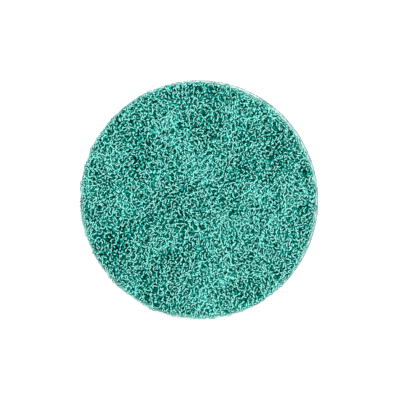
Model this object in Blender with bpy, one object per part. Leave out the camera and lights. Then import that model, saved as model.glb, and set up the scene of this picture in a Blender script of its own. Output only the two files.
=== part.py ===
"""Surface conditioning disc: a lofty non-woven abrasive web on a hook-and-loop backing cloth.

Metres, +Z up. The origin is the centre of the backing's underside, and the abrasive face looks up.
"""

import math
import random

import bmesh
import bpy
import numpy as np
from mathutils import Vector
from mathutils.geometry import delaunay_2d_cdt

# The disc, die-cut in one stroke
DISC_DIAMETER = 0.075
BACKING_THICKNESS = 0.0010
GLUE_LINE = 0.0003
WEB_THICKNESS = 0.0042
OUTLINE_SIDES = 128

# The web's crimped strands: bundles of fibre that stand out of the mat
STRAND_COUNT = 175
STRAND_LENGTH = 0.0095
STRAND_WIDTH = 0.0008
STRAND_RISE = 0.0010
STRAND_STEPS = 5
STRAND_BEND = 0.0030
CRIMP_AMPLITUDE = 0.00075
CRIMP_LENGTH = 0.0065
STRAND_SEED = 11

# The mat sags between the strands, and opens into pores where there is room
SAG_DEPTH = 0.0007
SAG_REACH = 0.0012
PORE_SPOTS = 420
PORE_SMALLEST = 0.0007
PORE_LARGEST = 0.0013
PORE_DEPTH = 0.0015
PORE_SIDES = 3

# The die-cut edge, where the fibre springs back in layers
EDGE_EASE = 0.0003
EDGE_LAYERS = 2
EDGE_ROUGHNESS = 0.00025

# The backing cloth's lower edge, eased by the die
CLOTH_EDGE_RADIUS = 0.0003
CLOTH_EDGE_STEPS = 3

OUTLINE_RADIUS = DISC_DIAMETER / 2
FACE_RADIUS = OUTLINE_RADIUS - EDGE_EASE
WEB_BASE = BACKING_THICKNESS + GLUE_LINE
MAT_LEVEL = WEB_BASE + WEB_THICKNESS
EDGE_TOP = MAT_LEVEL - EDGE_EASE
MERGE_DISTANCE = 0.00002
GOLDEN_ANGLE = math.pi * (3 - math.sqrt(5))


def clear_scene():
    for obj in list(bpy.data.objects):
        bpy.data.objects.remove(obj, do_unlink=True)


def plain_material(name, colour, roughness):
    material = bpy.data.materials.new(name)
    material.use_nodes = True
    shader = material.node_tree.nodes["Principled BSDF"]
    shader.inputs["Base Color"].default_value = (*colour, 1.0)
    shader.inputs["Roughness"].default_value = roughness
    shader.inputs["Metallic"].default_value = 0.0
    return material


def add_object(name, bm, material):
    mesh = bpy.data.meshes.new(name)
    bm.to_mesh(mesh)
    bm.free()
    mesh.materials.append(material)
    obj = bpy.data.objects.new(name, mesh)
    bpy.context.scene.collection.objects.link(obj)
    return obj


def on_circle(angle, radius):
    return Vector((math.cos(angle), math.sin(angle))) * radius


def spread_over_disc(count, radius):
    """Evenly spread points in a circle, in the order that seeds fill a sunflower's head."""
    return [on_circle(i * GOLDEN_ANGLE, radius * math.sqrt((i + 0.5) / count)) for i in range(count)]


def crimped_path(centre, rng):
    """The crest line of one strand: a shallow bow with the wave of crimped nylon on it."""
    along = on_circle(rng.uniform(0, 2 * math.pi), 1.0)
    across = along.orthogonal()
    length = STRAND_LENGTH * rng.uniform(0.75, 1.25)
    bend = STRAND_BEND * rng.uniform(-1, 1)
    phase = rng.uniform(0, 2 * math.pi)
    path = []
    for step in range(STRAND_STEPS + 1):
        share = step / STRAND_STEPS - 0.5
        wave = math.sin(2 * math.pi * share * length / CRIMP_LENGTH + phase)
        sideways = bend * (4 * share * share - 0.5) + CRIMP_AMPLITUDE * wave
        path.append(centre + along * (share * length) + across * sideways)
    return path


def make_strands():
    """Each strand as its crest points and the height of each of them above the mat."""
    rng = random.Random(STRAND_SEED)
    strands = []
    for centre in spread_over_disc(STRAND_COUNT, FACE_RADIUS):
        path = crimped_path(centre, rng)
        rise = STRAND_RISE * rng.uniform(0.5, 1.3)
        heights = [rise * (0.35 + 0.65 * math.sin(math.pi * i / STRAND_STEPS)) for i in range(len(path))]
        strands.append((path, heights))
    return strands


def flank_lines(path):
    """The two lines where a strand meets the mat, half a width either side of its crest."""
    left, right = [], []
    for i, point in enumerate(path):
        along = (path[min(i + 1, len(path) - 1)] - path[max(i - 1, 0)]).normalized()
        offset = along.orthogonal() * (STRAND_WIDTH / 2)
        left.append(point + offset)
        right.append(point - offset)
    return left, right


def crest_segments(strands):
    """Every length of crest as arrays: its start, its end, and the height at each."""
    pairs = [(path[i], path[i + 1], h[i], h[i + 1]) for path, h in strands for i in range(len(path) - 1)]
    return [np.array(column) for column in zip(*pairs)]


def level_and_room(points, segments):
    """The face's level at each point, and how far off the nearest strand is."""
    starts, ends, low, high = segments
    run = ends - starts
    offset = points[:, None, :] - starts[None]
    share = np.clip((offset * run).sum(2) / (run * run).sum(1), 0, 1)
    distance = np.linalg.norm(offset - share[..., None] * run, axis=2)
    crest = low + share * (high - low)
    roof = crest * np.clip(1 - distance / (STRAND_WIDTH / 2), 0, 1)
    room = distance.min(axis=1) - STRAND_WIDTH / 2
    return MAT_LEVEL + roof.max(axis=1) - SAG_DEPTH * np.clip(room / SAG_REACH, 0, 1), room


def make_pores(segments):
    """Each pore as its centre and its corners, sized to the room between the strands."""
    rng = random.Random(STRAND_SEED)
    spots = spread_over_disc(PORE_SPOTS, FACE_RADIUS - PORE_LARGEST)
    pores = []
    for spot, room in zip(spots, level_and_room(np.array(spots), segments)[1]):
        if room < PORE_SMALLEST:
            continue
        start = rng.uniform(0, 2 * math.pi)
        corners = []
        for side in range(PORE_SIDES):
            angle = start + 2 * math.pi * (side + rng.uniform(-0.25, 0.25)) / PORE_SIDES
            corners.append(spot + on_circle(angle, min(room, PORE_LARGEST) * rng.uniform(0.6, 0.9)))
        pores.append((spot, corners))
    return pores


def face_plan(strands, pores):
    """The face from above, triangulated along its outline, the strands' crests and flanks, and the pores."""
    points, edges = [], []

    def add_line(line, closed=False):
        corners = range(len(points), len(points) + len(line))
        points.extend(line)
        edges.extend(zip(corners, corners[1:]))
        if closed:
            edges.append((corners[-1], corners[0]))
        return corners

    turn = 2 * math.pi / OUTLINE_SIDES
    outline = add_line([on_circle(i * turn, FACE_RADIUS) for i in range(OUTLINE_SIDES)])
    for path, _ in strands:
        crest = add_line(path)
        for flank in map(add_line, flank_lines(path)):
            edges.extend([(crest[0], flank[0]), (crest[-1], flank[-1])])
    for centre, corners in pores:
        add_line(corners, closed=True)
        points.append(centre)
    found = delaunay_2d_cdt(points, edges, [list(outline)], 0, MERGE_DISTANCE)
    plan, faces, owners = found[0], found[2], found[5]
    return np.array(plan), [face for face, inside in zip(faces, owners) if inside]


def add_cut_edge(bm):
    """Carries the face's outline down to the web's back in layers, and closes the back."""
    rng = random.Random(STRAND_SEED)
    rim = [edge for edge in bm.edges if edge.is_boundary]
    for layer in range(EDGE_LAYERS + 1):
        made = bmesh.ops.extrude_edge_only(bm, edges=rim)["geom"]
        rim = [item for item in made if isinstance(item, bmesh.types.BMEdge)]
        level = EDGE_TOP + (WEB_BASE - EDGE_TOP) * layer / EDGE_LAYERS
        roughness = 0 if layer == EDGE_LAYERS else EDGE_ROUGHNESS
        for vert in {vert: None for edge in rim for vert in edge.verts}:
            flat = vert.co.xy.normalized() * (OUTLINE_RADIUS - roughness * rng.random())
            vert.co = (flat.x, flat.y, level)
    bmesh.ops.edgeloop_fill(bm, edges=rim)


def make_abrasive_web():
    strands = make_strands()
    segments = crest_segments(strands)
    pores = make_pores(segments)
    plan, faces = face_plan(strands, pores)
    heights, _ = level_and_room(plan, segments)
    for centre, _ in pores:
        heights[np.linalg.norm(plan - centre, axis=1).argmin()] -= PORE_DEPTH
    bm = bmesh.new()
    verts = [bm.verts.new((x, y, z)) for (x, y), z in zip(plan, heights)]
    for face in faces:
        bm.faces.new([verts[i] for i in face])
    bmesh.ops.delete(bm, geom=[vert for vert in verts if not vert.link_faces], context="VERTS")
    bmesh.ops.remove_doubles(bm, verts=bm.verts, dist=MERGE_DISTANCE)
    add_cut_edge(bm)
    bmesh.ops.recalc_face_normals(bm, faces=bm.faces)
    material = plain_material("resin_coated_nylon", (0.055, 0.342, 0.287), 0.55)
    web = add_object("abrasive_web", bm, material)
    web.data.shade_flat()


def make_loop_backing():
    bm = bmesh.new()
    made = bmesh.ops.create_circle(bm, cap_ends=True, segments=OUTLINE_SIDES, radius=OUTLINE_RADIUS)
    raised = bmesh.ops.extrude_face_region(bm, geom=bm.faces[:])["geom"]
    raised = [item for item in raised if isinstance(item, bmesh.types.BMVert)]
    bmesh.ops.translate(bm, verts=raised, vec=(0, 0, BACKING_THICKNESS))
    lower_rim = [edge for edge in bm.edges if all(vert in made["verts"] for vert in edge.verts)]
    bmesh.ops.bevel(
        bm,
        geom=lower_rim,
        offset=CLOTH_EDGE_RADIUS,
        segments=CLOTH_EDGE_STEPS,
        affect="EDGES",
        profile=0.5,
    )
    bmesh.ops.recalc_face_normals(bm, faces=bm.faces)
    cloth = add_object("loop_backing", bm, plain_material("loop_cloth", (0.55, 0.56, 0.55), 0.9))
    cloth.data.shade_smooth()
    cloth.data.set_sharp_from_angle(angle=math.radians(35))


def main():
    clear_scene()
    make_loop_backing()
    make_abrasive_web()


main()
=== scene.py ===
"""Looks of the surface conditioning disc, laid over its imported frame.

The abrasive face is a web of crimped nylon fibres in layers, trimmed by the die at the rim. Under it is a
brushed loop cloth. Lengths are in metres.
"""

import math

import bpy
import numpy as np
from bpy.props import FloatProperty, FloatVectorProperty, IntProperty, PointerProperty
from mathutils import Euler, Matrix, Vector
from mathutils.bvhtree import BVHTree


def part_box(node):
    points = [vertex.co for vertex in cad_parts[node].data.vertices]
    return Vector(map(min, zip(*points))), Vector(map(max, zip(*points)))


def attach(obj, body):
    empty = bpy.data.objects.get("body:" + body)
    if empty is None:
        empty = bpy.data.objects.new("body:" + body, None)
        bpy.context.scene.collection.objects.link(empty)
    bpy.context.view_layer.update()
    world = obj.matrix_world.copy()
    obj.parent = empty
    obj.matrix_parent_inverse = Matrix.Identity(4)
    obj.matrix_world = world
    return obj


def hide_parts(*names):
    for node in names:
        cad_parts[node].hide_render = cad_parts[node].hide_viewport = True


bl_info = {
    "name": "Surface Conditioning Disc",
    "version": (1, 0, 0),
    "blender": (4, 5, 0),
    "location": "3D View > Sidebar > Disc",
    "description": "Builds the web, the cut edge, the loop cloth and the stage of the disc",
    "category": "Object",
}

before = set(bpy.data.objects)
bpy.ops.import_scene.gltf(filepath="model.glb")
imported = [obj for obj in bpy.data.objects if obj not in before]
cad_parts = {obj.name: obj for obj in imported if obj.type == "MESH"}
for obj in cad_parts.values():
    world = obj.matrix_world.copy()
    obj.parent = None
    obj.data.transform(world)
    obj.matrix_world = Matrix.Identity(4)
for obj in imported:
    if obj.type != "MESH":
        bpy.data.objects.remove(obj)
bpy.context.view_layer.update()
WEB_LOW, WEB_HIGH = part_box("abrasive_web")
CLOTH_LOW, CLOTH_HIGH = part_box("loop_backing")

TURN = 2 * math.pi
GOLDEN_ANGLE = math.pi * (3 - math.sqrt(5))

# Sizes that follow from the frame, and how far inside the disc's outline its fibre is cut
DISC_RADIUS = CLOTH_HIGH[0]
WEB_BASE = WEB_LOW[2]
MID_HEIGHT = WEB_HIGH[2] / 2
TRIM = 0.00015
FACE_RADIUS = DISC_RADIUS - TRIM

# The square grid over the face, and how widely its heights and its crowding are averaged
GRID_STEP = 0.0005
GRID_HALF = 78
BLUR_STEPS = 5
SOFTENING = 0.0010
CROWD_WIDTH = 0.0006
PROBE_HEIGHT = 0.05

# Fibres and loops are chains of straight lengths, three-sided in section
FIBRE_STEPS = 17
SHORTEST_STEPS = 3
LOOP_STEPS = 6
PROFILE_SIDES = 3
MERGE_DISTANCE = 0.000001

# The share of a fibre's full length that the lower layers and the cut edge use
SHORT = 0.53

# Layers of the web: name, fibres, their share of the full length, depth under the face, tone from dark to
# light, which paints shade on the deeper layers, how much the tone varies, and relative thickness
LAYERS = (
    ("web_fibres_deep", 1500, SHORT, 0.0013, 0.06, 0.6, 1.1),
    ("web_fibres_middle", 4200, SHORT, 0.0006, 0.41, 0.45, 1.05),
    ("web_fibres_top", 1850, 1.0, 0.0000, 0.82, 1.0, 1.12),
)

# How fibres differ from one another: lowest and highest share of the usual size
LENGTH_RANGE = (0.7, 1.3)
CRIMP_DEPTH_RANGE = (0.4, 1.4)
CRIMP_LENGTH_RANGE = (0.7, 1.4)
THICKNESS_RANGE = (0.8, 1.15)

# How fibres lie: the share that follows the lay, how far their centres stray, how high they rise, how many
# radians their rise turns with each step, how far their ends dip, and how much a crest swells
LAY_SHARE = 0.75
CENTRE_JITTER = 0.0003
RISE_RANGE = (0.00010, 0.00025)
RISE_TURN_RANGE = (1.0, 1.9)
END_DIP = 0.0003
CREST_SWELL = 0.35

# What makes a fibre paler or darker: chance, a painted highlight on its crests, crowding, painted shade and
# light for each metre of height, and a painted highlight at the rim. Fibres are gathered at the edge, so
# nothing within the rim's pile counts as crowded.
TONE_SPREAD = 0.18
CREST_HIGHLIGHT = 0.50
CROWD_TONE = 0.6
CROWD_LIMIT = 0.6
RELIEF_SHADE = 320
RIM_HIGHLIGHT = 0.40
RIM_WIDTH = 0.0024
RIM_PILE = 0.001

# A wider, darker copy of each fibre of the top layer, lying under it: painted shade along the fibre's flanks
SHADE_STRAND_WIDTH = 2.3
SHADE_STRAND_DEPTH = 0.00022
SHADE_STRAND_TONE = 0.10

# The cut edge, where fibres lie to this depth inside the face's radius and ripple in and out
EDGE_FIBRES = 1700
EDGE_HEADING_SPREAD = 0.45
EDGE_DEPTH = 0.0008
EDGE_RIPPLE = 0.00005
EDGE_RIPPLES = 900
EDGE_GAP = 0.0002
# The wall's fibres are paler than the face's, partly for the nylon the die bared and partly as painted light
# on the wall
EDGE_TONE = 1.25
EDGE_TONE_SPREAD = 0.35
EDGE_TOP_FADE = 0.3

# The matted inside of the web
CORE_DEPTH = 0.0013
CORE_MARGIN = 0.0006
CORE_FOOT = 0.0005
CORE_VOXEL = 0.00055
CLUMP_SIZE = 0.0012
CLUMP_RELIEF = 0.0006

# The backing cloth and its loops
CLOTH_SIDES = 192
CLOTH_SWELL = 0.0001
CLOTH_VOXEL = 0.00045
RIB_SIZE = 0.001
RIB_RELIEF = 0.00015
FUZZ_SIZE = 0.0005
FUZZ_RELIEF = 0.0003
LOOP_DROP = 0.0004
LOOP_ROOT = 0.0001
LOOP_MARGIN = 0.0003
LOOP_WIDTH_RANGE = (0.0003, 0.0007)
LOOP_LEAN = 0.0002
LOOP_SEED = 8

# How each pattern changes a coated fibre's tone, as factor and offset, and the tones of the coat's colours,
# from painted deep shade to painted highlight
BREAK_MIX = (1.5, -0.78)
GRAIN_MIX = (0.3, -0.15)
CLOUD_MIX = (0.9, -0.45)
COAT_STOPS = (0.03, 0.28, 0.62, 0.94)

# How much darker and lighter than its colour the yarn is mottled
YARN_MOTTLE = 0.35

# Scales of the noise and wave patterns in the materials
BREAK_SCALE = 1300
GRAIN_SCALE = 6500
CLOUD_SCALE = 110
MATTING_SCALE = 1500
YARN_SCALE = 3000
KNIT_SCALE = 260

# Light
FLOOR_SIZE = 6
FLOOR_GLOW = 0.32
STUDIO_LIGHT = 0.6
BACKDROP_LIGHT = 0.4
KEY_PLACE = (0.1, 0.15, 0.6)
KEY_WIDTH = math.radians(30)
KEY_STRENGTH = 2.15

# The photograph's view
IMAGE_WIDTH = 400
DISC_PIXELS = 119.3
AIM_PIXELS = (1.65, 0.0)
CAMERA_DISTANCE = 1.0
SENSOR_WIDTH = 36.0


# Sizes and colours that a user would change


class WebSettings(bpy.types.PropertyGroup):
    fibre_thickness: FloatProperty(
        name="Fibre Thickness",
        description="Thickness of a nylon fibre with its coat of resin and grain",
        default=0.00024,
        precision=5,
        unit="LENGTH",
    )
    fibre_length: FloatProperty(
        name="Fibre Length",
        description="Length of each stretch of fibre that shows",
        default=0.0053,
        precision=4,
        unit="LENGTH",
    )
    crimp_length: FloatProperty(
        name="Crimp Length",
        description="Length of one wave of the crimp",
        default=0.0018,
        precision=4,
        unit="LENGTH",
    )
    crimp_depth: FloatProperty(
        name="Crimp Depth",
        description="How far the crimp swings a fibre to each side",
        default=0.00030,
        precision=5,
        unit="LENGTH",
    )
    wander: FloatProperty(
        name="Wander",
        description="How much a fibre's heading strays with each of its lengths",
        default=math.radians(9),
        subtype="ANGLE",
    )
    lay_angle: FloatProperty(
        name="Lay Direction",
        description="Direction in the plane of the disc along which most fibres were carded",
        default=math.radians(72),
        subtype="ANGLE",
    )
    lay_spread: FloatProperty(
        name="Lay Spread",
        description="How far the carded fibres stray from the lay direction",
        default=math.radians(30),
        subtype="ANGLE",
    )
    # Painted highlight: the crests of the crimp are given this pale colour, as if they caught the light
    crest_highlight: FloatVectorProperty(
        name="Pale Coat",
        description="Colour of the fibres' crests, where the coat is thin over the nylon",
        default=(0.38, 1.0, 0.9),
        subtype="COLOR",
        min=0,
        max=1,
    )
    # Partly the nylon that the die bared at the cut edge, and partly painted light on the wall
    bare_nylon: FloatVectorProperty(
        name="Bare Nylon",
        description="Colour of the fibres along the cut edge, where the die has scraped the coat off",
        default=(0.70, 1.0, 0.94),
        subtype="COLOR",
        min=0,
        max=1,
    )
    light_coat: FloatVectorProperty(
        name="Light Coat",
        description="Colour of the fibres at the face, where the coat catches the light",
        default=(0.0, 0.76, 0.615),
        subtype="COLOR",
        min=0,
        max=1,
    )
    # Painted shade: the fibres just under the face are given this darker coat
    shaded_coat: FloatVectorProperty(
        name="Middle Coat",
        description="Colour of the fibres just under the face",
        default=(0.0, 0.25, 0.188),
        subtype="COLOR",
        min=0,
        max=1,
    )
    # Painted shade: the fibres deep in the web and the core are given this near-black coat
    deep_shade: FloatVectorProperty(
        name="Dark Coat",
        description="Colour deep in the web",
        default=(0.0, 0.018, 0.0125),
        subtype="COLOR",
        min=0,
        max=1,
    )
    seed: IntProperty(name="Seed", description="Changes how the fibres fall", default=3)


class ClothSettings(bpy.types.PropertyGroup):
    loop_count: IntProperty(
        name="Loops",
        description="Number of loops brushed up from the back of the cloth",
        default=3600,
        min=0,
    )
    yarn_thickness: FloatProperty(
        name="Yarn Thickness",
        description="Thickness of a loop's yarn",
        default=0.00012,
        precision=5,
        unit="LENGTH",
    )
    yarn_colour: FloatVectorProperty(
        name="Yarn Colour",
        description="Colour of the backing cloth",
        default=(0.39, 0.40, 0.40),
        subtype="COLOR",
        min=0,
        max=1,
    )


class StageSettings(bpy.types.PropertyGroup):
    lean_right: FloatProperty(
        name="Lean Right",
        description="How far the camera leans from straight above the disc towards +X",
        default=math.radians(7.8),
        subtype="ANGLE",
    )
    lean_up: FloatProperty(
        name="Lean Up",
        description="How far the camera leans from straight above the disc towards +Y",
        default=math.radians(5.0),
        subtype="ANGLE",
    )
    floor_colour: FloatVectorProperty(
        name="Floor Colour",
        description="Colour of the plain floor",
        default=(0.86, 0.86, 0.86),
        subtype="COLOR",
        min=0,
        max=1,
    )


# Shared steps


def deselect_all():
    if bpy.context.object and bpy.context.object.mode != "OBJECT":
        bpy.ops.object.mode_set(mode="OBJECT")
    bpy.ops.object.select_all(action="DESELECT")


def only(obj):
    deselect_all()
    obj.select_set(True)
    bpy.context.view_layer.objects.active = obj


def apply_modifiers(obj):
    only(obj)
    for modifier in list(obj.modifiers):
        bpy.ops.object.modifier_apply(modifier=modifier.name)


def add_relief(obj, texture, strength, mid_level):
    relief = obj.modifiers.new(texture.name, "DISPLACE")
    relief.texture = texture
    relief.strength = strength
    relief.mid_level = mid_level


def finish_piece(obj, material):
    obj.data.materials.clear()
    obj.data.materials.append(material)
    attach(obj, "root")


# Values over the face: its packed relief, and how close the fibres lie


def softened(grid, width):
    """The grid with each point averaged with those around it."""
    reach = np.arange(-BLUR_STEPS, BLUR_STEPS + 1) * GRID_STEP / width
    weights = np.exp(-reach * reach / 2)
    weights /= weights.sum()
    for axis in (0, 1):
        margins = [(BLUR_STEPS, BLUR_STEPS) if side == axis else (0, 0) for side in (0, 1)]
        padded = np.pad(grid, margins, mode="edge")
        grid = np.apply_along_axis(np.convolve, axis, padded, weights, mode="valid")
    return grid


def sampled(grid, places):
    """The grid's value at each place, between its four nearest points."""
    column, row = np.moveaxis(np.clip(places / GRID_STEP + GRID_HALF, 0, 2 * GRID_HALF - 1), -1, 0)
    i, j = row.astype(int), column.astype(int)
    v, u = row - i, column - j
    near = grid[i, j] * (1 - u) + grid[i, j + 1] * u
    far = grid[i + 1, j] * (1 - u) + grid[i + 1, j + 1] * u
    return near * (1 - v) + far * v


def crowding(places):
    """How much closer than usual the fibres lie at each place: 0 where they are as close as usual."""
    edges = (np.arange(2 * GRID_HALF + 2) - GRID_HALF - 0.5) * GRID_STEP
    x, y = places.reshape(-1, 2).T
    counts = softened(np.histogram2d(y, x, bins=(edges, edges))[0], CROWD_WIDTH)
    # The corners outside the disc hold no fibre, so they don't count towards what is usual
    usual = np.median(counts[counts > counts.max() / 4])
    return sampled(counts / usual - 1, places)


class Face:
    """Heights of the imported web's face on a square grid, softened as loose fibre softens what it lies on."""

    def __init__(self, node):
        mesh = node.data
        corners = [vert.co[:] for vert in mesh.vertices]
        tree = BVHTree.FromPolygons(corners, [face.vertices[:] for face in mesh.polygons])
        size = 2 * GRID_HALF + 1
        heights = np.full((size, size), np.nan)
        for row in range(size):
            for column in range(size):
                x, y = (column - GRID_HALF) * GRID_STEP, (row - GRID_HALF) * GRID_STEP
                above = Vector((x, y, PROBE_HEIGHT))
                if above.xy.length < FACE_RADIUS:
                    heights[row, column] = tree.ray_cast(above, Vector((0, 0, -1)))[0].z
        self.level = np.nanmedian(heights)
        heights = np.where(np.isnan(heights), self.level, heights)
        self.heights = softened(heights, SOFTENING)

    def height(self, places):
        """The softened face's height at each place."""
        return sampled(self.heights, places)


# Fibres


def on_circle(angle):
    return np.stack((np.cos(angle), np.sin(angle)), axis=-1)


def spread_over_disc(rng, count, radius, jitter):
    """Even but unordered places in a circle, from the order in which seeds fill a sunflower's head."""
    rank = np.arange(count)
    places = on_circle(rank * GOLDEN_ANGLE) * radius * np.sqrt((rank + 0.5) / count)[:, None]
    return places + rng.normal(0, jitter, (count, 2))


def choose_headings(rng, web, count):
    """Headings that mostly follow the lay of the web."""
    along_lay = rng.random(count) < LAY_SHARE
    carded = rng.normal(web.lay_angle, web.lay_spread, count)
    return np.where(along_lay, carded, rng.uniform(0, TURN / 2, count))


def crimped_paths(rng, web, headings, share):
    """Wandering lines about the origin, with the crimp's wave across them, for a share of full length."""
    shape = (len(headings), 1)
    along = np.arange(round(FIBRE_STEPS * share) + 1)
    step = web.fibre_length * rng.uniform(*LENGTH_RANGE, shape) / FIBRE_STEPS
    wave = web.crimp_depth * rng.uniform(*CRIMP_DEPTH_RANGE, shape)
    wave_turn = TURN * step / (web.crimp_length * rng.uniform(*CRIMP_LENGTH_RANGE, shape))
    swing = wave * np.sin(rng.uniform(0, TURN, shape) + along * wave_turn)
    wander = rng.normal(0, web.wander, (len(headings), len(along))).cumsum(axis=1)
    heading = headings[:, None] + wander
    paths = (step[..., None] * on_circle(heading)).cumsum(axis=1)
    paths += swing[..., None] * on_circle(heading + TURN / 4)
    return paths - paths.mean(axis=1, keepdims=True)


def layer_fibres(rng, web, face, count, share, depth, tone, contrast, thickness):
    """One layer's fibres, each as points (x, y, z), thicknesses and tones, ended where the die cut them."""
    centres = spread_over_disc(rng, count, FACE_RADIUS + web.fibre_length * share / 3, CENTRE_JITTER)
    paths = centres[:, None] + crimped_paths(rng, web, choose_headings(rng, web, count), share)
    reach = np.linalg.norm(paths, axis=2)
    paths *= np.minimum(1, FACE_RADIUS / reach)[..., None]
    along = np.arange(paths.shape[1])
    crest = np.sin(rng.uniform(0, TURN, (count, 1)) + rng.uniform(*RISE_TURN_RANGE, (count, 1)) * along)
    rise = rng.uniform(*RISE_RANGE, (count, 1)) * crest
    rise -= END_DIP * np.abs(2 * along / along[-1] - 1) ** 4
    ground = face.height(paths)
    levels = ground - depth + rise
    # Painted highlight: the crests of the crimp are paler
    tones = tone + contrast * (rng.normal(0, TONE_SPREAD, (count, 1)) + CREST_HIGHLIGHT * crest)
    # Painted shade and light: fibres are darker where the face sinks and paler where it rises
    tones += RELIEF_SHADE * (ground - face.level)
    # Painted highlight: fibres are paler towards the rim
    tones += RIM_HIGHLIGHT * np.clip((reach - FACE_RADIUS) / RIM_WIDTH + 1, 0, 1)
    crowded = np.clip(crowding(paths), -CROWD_LIMIT, CROWD_LIMIT) * (reach < FACE_RADIUS - RIM_PILE)
    tones -= CROWD_TONE * contrast * crowded
    sizes = thickness * rng.uniform(*THICKNESS_RANGE, (count, 1)) * (1 + CREST_SWELL * crest)
    inside = reach < FACE_RADIUS
    fibres = []
    for i in range(count):
        kept = np.flatnonzero(inside[i])
        if len(kept) > SHORTEST_STEPS:
            cut = slice(kept[0], kept[-1] + 1)
            points = np.column_stack((paths[i], levels[i]))[cut]
            fibres.append((points, sizes[i][cut], tones[i][cut]))
    return fibres


def wall_fibres(rng, web, face, count):
    """Fibres that the die left lying along the cut edge."""
    angles = rng.uniform(0, TURN, count)
    paths = crimped_paths(rng, web, rng.normal(0, EDGE_HEADING_SPREAD, count), SHORT)
    turns = angles[:, None] + paths[..., 0] / FACE_RADIUS
    radii = FACE_RADIUS - EDGE_DEPTH * rng.random((count, 1)) ** 2
    radii = radii + EDGE_RIPPLE * np.sin(turns * EDGE_RIPPLES)
    flat = on_circle(turns) * radii[..., None]
    low, high = WEB_BASE + EDGE_GAP, face.height(flat)
    share = rng.random((count, 1)) + paths[..., 1] / (high - low)
    share = np.abs((share + 1) % 2 - 1)
    levels = low + (high - low) * share
    tones = EDGE_TONE + rng.normal(0, EDGE_TONE_SPREAD, (count, 1)) - EDGE_TOP_FADE * share**8
    points = np.concatenate((flat, levels[..., None]), axis=-1)
    return [(points[i], np.ones(len(points[i])), tones[i]) for i in range(count)]


def cloth_loops(cloth, base_low):
    """Loops that hang from the cloth's base down to the plane it rests on, as fibres are listed."""
    rng = np.random.default_rng(LOOP_SEED)
    count = cloth.loop_count
    spots = spread_over_disc(rng, count, DISC_RADIUS - LOOP_MARGIN, CENTRE_JITTER)
    across = on_circle(rng.uniform(0, TURN, count)) * rng.uniform(*LOOP_WIDTH_RANGE, (count, 1))
    leans = rng.normal(0, LOOP_LEAN, (count, 1, 2))
    arc = np.pi * np.arange(LOOP_STEPS + 1) / LOOP_STEPS
    flat = spots[:, None] + across[:, None] * np.cos(arc)[:, None] + leans * np.sin(arc)[:, None]
    reach = np.linalg.norm(flat, axis=2, keepdims=True)
    flat *= np.minimum(1, (DISC_RADIUS - cloth.yarn_thickness / 2) / reach)
    drop = base_low - CLOTH_LOW[2] - cloth.yarn_thickness / 2
    levels = base_low + LOOP_ROOT - (drop + LOOP_ROOT) * np.sin(arc)
    sizes, tones = np.ones(len(levels)), np.zeros(len(levels))
    return [(np.column_stack((points, levels)), sizes, tones) for points in flat]


def lay_fibres(name, fibres, thickness):
    """Draws the fibres as curves with pointed ends, and turns them into one mesh that keeps their tones.

    Half a turn of the section puts one of its three sides on top.
    """
    deselect_all()
    bpy.ops.mesh.primitive_circle_add(vertices=PROFILE_SIDES, radius=thickness / 2, rotation=(0, 0, TURN / 2))
    bpy.ops.object.transform_apply(location=False, rotation=True, scale=False)
    bpy.ops.object.convert(target="CURVE")
    section = bpy.context.object
    curve = bpy.data.curves.new(name, "CURVE")
    curve.dimensions = "3D"
    curve.bevel_mode = "OBJECT"
    curve.twist_mode = "Z_UP"
    curve.bevel_object = section
    for points, sizes, _ in fibres:
        spline = curve.splines.new("POLY")
        spline.points.add(len(points) - 1)
        spline.points.foreach_set("co", np.insert(points, 3, 1, axis=1).ravel())
        pointed = sizes.copy()
        pointed[[0, -1]] = 0
        spline.points.foreach_set("radius", pointed)
    obj = bpy.data.objects.new(name, curve)
    bpy.context.scene.collection.objects.link(obj)
    only(obj)
    bpy.ops.object.convert(target="MESH")
    bpy.data.objects.remove(section)
    tones = np.concatenate([fibre[2] for fibre in fibres])
    attribute = obj.data.attributes.new("tone", "FLOAT", "POINT")
    attribute.data.foreach_set("value", np.repeat(tones, PROFILE_SIDES).astype(np.float32))
    bpy.ops.object.mode_set(mode="EDIT")
    bpy.ops.mesh.select_all(action="SELECT")
    bpy.ops.mesh.remove_doubles(threshold=MERGE_DISTANCE)
    bpy.ops.mesh.normals_make_consistent(inside=False)
    bpy.ops.object.mode_set(mode="OBJECT")
    obj.data.shade_smooth()
    return obj


# Finishes


def new_material(name):
    material = bpy.data.materials.new(name)
    material.use_nodes = True
    nodes = material.node_tree.nodes
    return material, nodes, material.node_tree.links, nodes["Principled BSDF"]


def add_node(nodes, kind, **values):
    node = nodes.new(kind)
    for key, value in values.items():
        setattr(node, key, value)
    return node


def noise(nodes, links, coordinates, scale, detail):
    node = add_node(nodes, "ShaderNodeTexNoise")
    node.inputs["Scale"].default_value = scale
    node.inputs["Detail"].default_value = detail
    links.new(coordinates, node.inputs["Vector"])
    return node.outputs["Fac"]


def scaled(nodes, links, value, factor, offset):
    node = add_node(nodes, "ShaderNodeMath", operation="MULTIPLY_ADD")
    links.new(value, node.inputs[0])
    node.inputs[1].default_value = factor
    node.inputs[2].default_value = offset
    return node.outputs["Value"]


def added(nodes, links, first, second):
    node = add_node(nodes, "ShaderNodeMath", operation="ADD")
    links.new(first, node.inputs[0])
    links.new(second, node.inputs[1])
    return node.outputs["Value"]


def bump(nodes, links, height, shader, strength, distance):
    node = add_node(nodes, "ShaderNodeBump")
    node.inputs["Strength"].default_value = strength
    node.inputs["Distance"].default_value = distance
    links.new(height, node.inputs["Height"])
    links.new(node.outputs["Normal"], shader.inputs["Normal"])


def ramp(nodes, links, value, stops):
    """A colour ramp through stops of (position, colour)."""
    node = add_node(nodes, "ShaderNodeValToRGB")
    elements = node.color_ramp.elements
    elements[0].position, elements[1].position = stops[0][0], stops[-1][0]
    elements[0].color, elements[1].color = (*stops[0][1], 1), (*stops[-1][1], 1)
    for position, colour in stops[1:-1]:
        elements.new(position).color = (*colour, 1)
    links.new(value, node.inputs["Fac"])
    return node.outputs["Color"]


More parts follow.
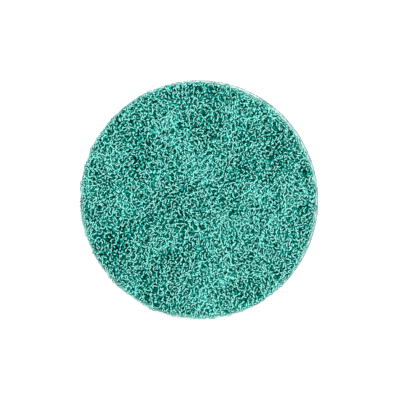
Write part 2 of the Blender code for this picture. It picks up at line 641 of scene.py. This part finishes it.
def coated_fibre(name, web, crest):
    """Resin-coated fibre: its tone, which carries painted light and shade, broken by grain along the fibre and
    by clouds across the disc.
    """
    material, nodes, links, shader = new_material(name)
    place = add_node(nodes, "ShaderNodeTexCoord").outputs["Object"]
    tone = add_node(nodes, "ShaderNodeAttribute", attribute_name="tone").outputs["Fac"]
    breaks = noise(nodes, links, place, BREAK_SCALE, detail=1)
    grain = noise(nodes, links, place, GRAIN_SCALE, detail=2)
    clouds = noise(nodes, links, place, CLOUD_SCALE, detail=1)
    for pattern, mix in ((breaks, BREAK_MIX), (grain, GRAIN_MIX), (clouds, CLOUD_MIX)):
        tone = added(nodes, links, tone, scaled(nodes, links, pattern, *mix))
    colours = (web.deep_shade, web.shaded_coat, web.light_coat, crest)
    stops = tuple(zip(COAT_STOPS, colours))
    links.new(ramp(nodes, links, tone, stops), shader.inputs["Base Color"])
    links.new(scaled(nodes, links, grain, factor=0.4, offset=0.45), shader.inputs["Roughness"])
    shader.inputs["Specular IOR Level"].default_value = 0.03
    bump(nodes, links, grain, shader, strength=0.5, distance=0.0001)
    return material


def deep_web_shade(web):
    """The web below the fibres that are modelled: dark with painted shade, matted and uneven."""
    material, nodes, links, shader = new_material("deep_web_shade")
    place = add_node(nodes, "ShaderNodeTexCoord").outputs["Object"]
    matting = noise(nodes, links, place, MATTING_SCALE, detail=4)
    stops = ((0.40, web.deep_shade), (0.72, web.shaded_coat))
    links.new(ramp(nodes, links, matting, stops), shader.inputs["Base Color"])
    links.new(scaled(nodes, links, matting, factor=0.4, offset=0.55), shader.inputs["Roughness"])
    shader.inputs["Specular IOR Level"].default_value = 0.05
    bump(nodes, links, matting, shader, strength=0.8, distance=0.0004)
    return material


def brushed_yarn(cloth):
    """Yarn of the backing cloth: mottled, with the ribs of its knit."""
    material, nodes, links, shader = new_material("brushed_yarn")
    place = add_node(nodes, "ShaderNodeTexCoord").outputs["Object"]
    fuzz = noise(nodes, links, place, YARN_SCALE, detail=3)
    ribs = add_node(nodes, "ShaderNodeTexWave")
    ribs.inputs["Scale"].default_value = KNIT_SCALE
    ribs.inputs["Distortion"].default_value = 1.5
    links.new(place, ribs.inputs["Vector"])
    ribbing = scaled(nodes, links, ribs.outputs["Fac"], factor=0.3, offset=-0.15)
    yarn = added(nodes, links, fuzz, ribbing)
    darker = [value * (1 - YARN_MOTTLE) for value in cloth.yarn_colour]
    lighter = [min(value * (1 + YARN_MOTTLE), 1) for value in cloth.yarn_colour]
    links.new(ramp(nodes, links, yarn, ((0.25, darker), (0.75, lighter))), shader.inputs["Base Color"])
    links.new(scaled(nodes, links, fuzz, factor=0.2, offset=0.75), shader.inputs["Roughness"])
    shader.inputs["Specular IOR Level"].default_value = 0.2
    shader.inputs["Sheen Weight"].default_value = 0.15
    bump(nodes, links, yarn, shader, strength=0.6, distance=0.0002)
    return material


def backdrop_rays(nodes, links):
    """One for a ray from the camera, a reflection or glass, which all show the plain white backdrop."""
    rays = add_node(nodes, "ShaderNodeLightPath")
    seen = rays.outputs["Is Camera Ray"]
    for name in ("Is Glossy Ray", "Is Transmission Ray"):
        either = add_node(nodes, "ShaderNodeMath", operation="MAXIMUM")
        links.new(seen, either.inputs[0])
        links.new(rays.outputs[name], either.inputs[1])
        seen = either.outputs["Value"]
    return seen


def pale_floor(colour):
    """A pale floor that shows white to the camera and keeps the disc's shadow."""
    material, nodes, links, shader = new_material("pale_floor")
    shader.inputs["Base Color"].default_value = (*colour, 1)
    shader.inputs["Roughness"].default_value = 0.9
    shader.inputs["Emission Color"].default_value = (1, 1, 1, 1)
    glow = scaled(nodes, links, backdrop_rays(nodes, links), factor=FLOOR_GLOW, offset=0)
    links.new(glow, shader.inputs["Emission Strength"])
    return material


# Operators, one for each piece or group of pieces


class DISC_OT_web_core(bpy.types.Operator):
    """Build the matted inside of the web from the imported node"""

    bl_idname = "disc.web_core"
    bl_label = "Web Core"

    def execute(self, context):
        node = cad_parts["abrasive_web"]
        only(node)
        bpy.ops.object.duplicate()
        core = context.object
        core.name = core.data.name = "web_core"
        core.parent = None
        bpy.ops.object.mode_set(mode="EDIT")
        bpy.ops.mesh.select_mode(type="VERT")
        bpy.ops.mesh.select_all(action="SELECT")
        bpy.ops.mesh.remove_doubles(threshold=MERGE_DISTANCE)
        shrink = (FACE_RADIUS - CORE_MARGIN) / DISC_RADIUS
        bpy.ops.transform.resize(value=(shrink, shrink, 1), center_override=(0, 0, 0))
        bpy.ops.mesh.select_all(action="DESELECT")
        bpy.ops.object.mode_set(mode="OBJECT")
        for vert in core.data.vertices:
            vert.select = vert.co.z > WEB_BASE + CORE_FOOT
        bpy.ops.object.mode_set(mode="EDIT")
        bpy.ops.transform.translate(value=(0, 0, -CORE_DEPTH))
        bpy.ops.object.mode_set(mode="OBJECT")
        remesh = core.modifiers.new("matting", "REMESH")
        remesh.mode = "VOXEL"
        remesh.voxel_size = CORE_VOXEL
        smooth = core.modifiers.new("settling", "SMOOTH")
        smooth.iterations = 4
        clumps = bpy.data.textures.new("clumps", "CLOUDS")
        clumps.noise_scale = CLUMP_SIZE
        add_relief(core, clumps, CLUMP_RELIEF, mid_level=0.6)
        apply_modifiers(core)
        core.data.shade_smooth()
        finish_piece(core, deep_web_shade(context.scene.disc_web))
        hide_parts("abrasive_web")
        return {"FINISHED"}


class DISC_OT_web_fibres(bpy.types.Operator):
    """Lay the face's crimped fibres in layers over the core"""

    bl_idname = "disc.web_fibres"
    bl_label = "Web Fibres"

    def execute(self, context):
        web = context.scene.disc_web
        face = Face(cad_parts["abrasive_web"])
        rng = np.random.default_rng(web.seed)
        material = coated_fibre("coated_fibre", web, web.crest_highlight)
        for name, *layer in LAYERS:
            fibres = layer_fibres(rng, web, face, *layer)
            finish_piece(lay_fibres(name, fibres, web.fibre_thickness), material)
        # A wider, darker copy under each top fibre, as painted shade along its flanks
        under = [
            (points - (0, 0, SHADE_STRAND_DEPTH), sizes * SHADE_STRAND_WIDTH, tones * SHADE_STRAND_TONE)
            for points, sizes, tones in fibres
        ]
        finish_piece(lay_fibres("web_fibres_painted_shade", under, web.fibre_thickness), material)
        fibres = wall_fibres(rng, web, face, EDGE_FIBRES)
        material = coated_fibre("cut_fibre", web, web.bare_nylon)
        finish_piece(lay_fibres("web_fibres_edge", fibres, web.fibre_thickness), material)
        return {"FINISHED"}


class DISC_OT_loop_cloth(bpy.types.Operator):
    """Build the backing cloth and brush its loops up"""

    bl_idname = "disc.loop_cloth"
    bl_label = "Loop Cloth"

    def execute(self, context):
        cloth = context.scene.disc_cloth
        material = brushed_yarn(cloth)
        base_low = CLOTH_LOW[2] + LOOP_DROP
        deselect_all()
        bpy.ops.mesh.primitive_cylinder_add(
            vertices=CLOTH_SIDES,
            radius=DISC_RADIUS + CLOTH_SWELL,
            depth=WEB_BASE - base_low,
            location=(0, 0, (WEB_BASE + base_low) / 2),
        )
        base = context.object
        base.name = base.data.name = "loop_cloth"
        bpy.ops.object.transform_apply(location=True, rotation=True, scale=True)
        remesh = base.modifiers.new("knit", "REMESH")
        remesh.mode = "VOXEL"
        remesh.voxel_size = CLOTH_VOXEL
        ribs = bpy.data.textures.new("ribs", "WOOD")
        ribs.noise_scale = RIB_SIZE
        add_relief(base, ribs, RIB_RELIEF, mid_level=0.5)
        fuzz = bpy.data.textures.new("fuzz", "CLOUDS")
        fuzz.noise_scale = FUZZ_SIZE
        add_relief(base, fuzz, FUZZ_RELIEF, mid_level=0.5)
        apply_modifiers(base)
        base.data.shade_smooth()
        finish_piece(base, material)
        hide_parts("loop_backing")
        loops = cloth_loops(cloth, base_low)
        finish_piece(lay_fibres("cloth_loops", loops, cloth.yarn_thickness), material)
        return {"FINISHED"}


class DISC_OT_stage(bpy.types.Operator):
    """Set the floor, the soft light and the camera"""

    bl_idname = "disc.stage"
    bl_label = "Stage"

    def execute(self, context):
        stage = context.scene.disc_stage
        deselect_all()
        bpy.ops.mesh.primitive_plane_add(size=FLOOR_SIZE, location=(0, 0, 0))
        floor = context.object
        floor.name = "floor"
        floor.data.materials.append(pale_floor(stage.floor_colour))

        world = bpy.data.worlds.new("studio")
        context.scene.world = world
        world.use_nodes = True
        nodes, links = world.node_tree.nodes, world.node_tree.links
        background = nodes["Background"]
        background.inputs["Color"].default_value = (1, 1, 1, 1)
        rays = backdrop_rays(nodes, links)
        strength = scaled(nodes, links, rays, factor=BACKDROP_LIGHT, offset=STUDIO_LIGHT)
        links.new(strength, background.inputs["Strength"])

        bpy.ops.object.light_add(type="SUN", location=KEY_PLACE)
        key = context.object
        key.name = "key_light"
        key.data.angle = KEY_WIDTH
        key.data.energy = KEY_STRENGTH
        key.rotation_euler = key.location.to_track_quat("Z", "Y").to_euler()

        pixel = DISC_RADIUS / DISC_PIXELS
        aim = Vector((AIM_PIXELS[0] * pixel, AIM_PIXELS[1] * pixel, MID_HEIGHT))
        turn = Euler((-stage.lean_up, stage.lean_right, 0))
        place = aim + turn.to_matrix() @ Vector((0, 0, CAMERA_DISTANCE))
        bpy.ops.object.camera_add(location=place, rotation=turn)
        camera = context.object
        camera.name = "camera"
        camera.data.sensor_width = SENSOR_WIDTH
        camera.data.lens = SENSOR_WIDTH * CAMERA_DISTANCE / (IMAGE_WIDTH * pixel)
        camera.data.clip_start = 0.01
        context.scene.camera = camera
        context.scene.view_settings.view_transform = "Standard"
        return {"FINISHED"}


class DISC_PT_panel(bpy.types.Panel):
    bl_label = "Surface Conditioning Disc"
    bl_idname = "DISC_PT_panel"
    bl_space_type = "VIEW_3D"
    bl_region_type = "UI"
    bl_category = "Disc"

    def draw(self, context):
        layout = self.layout
        scene = context.scene
        for settings in (scene.disc_web, scene.disc_cloth, scene.disc_stage):
            box = layout.box()
            for name in settings.__annotations__:
                box.prop(settings, name)
        for operator in OPERATORS:
            layout.operator(operator.bl_idname)


SETTINGS = {"disc_web": WebSettings, "disc_cloth": ClothSettings, "disc_stage": StageSettings}
OPERATORS = (DISC_OT_stage, DISC_OT_web_core, DISC_OT_web_fibres, DISC_OT_loop_cloth)
CLASSES = (*SETTINGS.values(), *OPERATORS, DISC_PT_panel)


def register():
    for item in CLASSES:
        bpy.utils.register_class(item)
    for name, settings in SETTINGS.items():
        setattr(bpy.types.Scene, name, PointerProperty(type=settings))


def unregister():
    for name in SETTINGS:
        delattr(bpy.types.Scene, name)
    for item in reversed(CLASSES):
        bpy.utils.unregister_class(item)


def main():
    register()
    bpy.ops.disc.stage()
    bpy.ops.disc.web_core()
    bpy.ops.disc.web_fibres()
    bpy.ops.disc.loop_cloth()


if __name__ == "__main__":
    main()
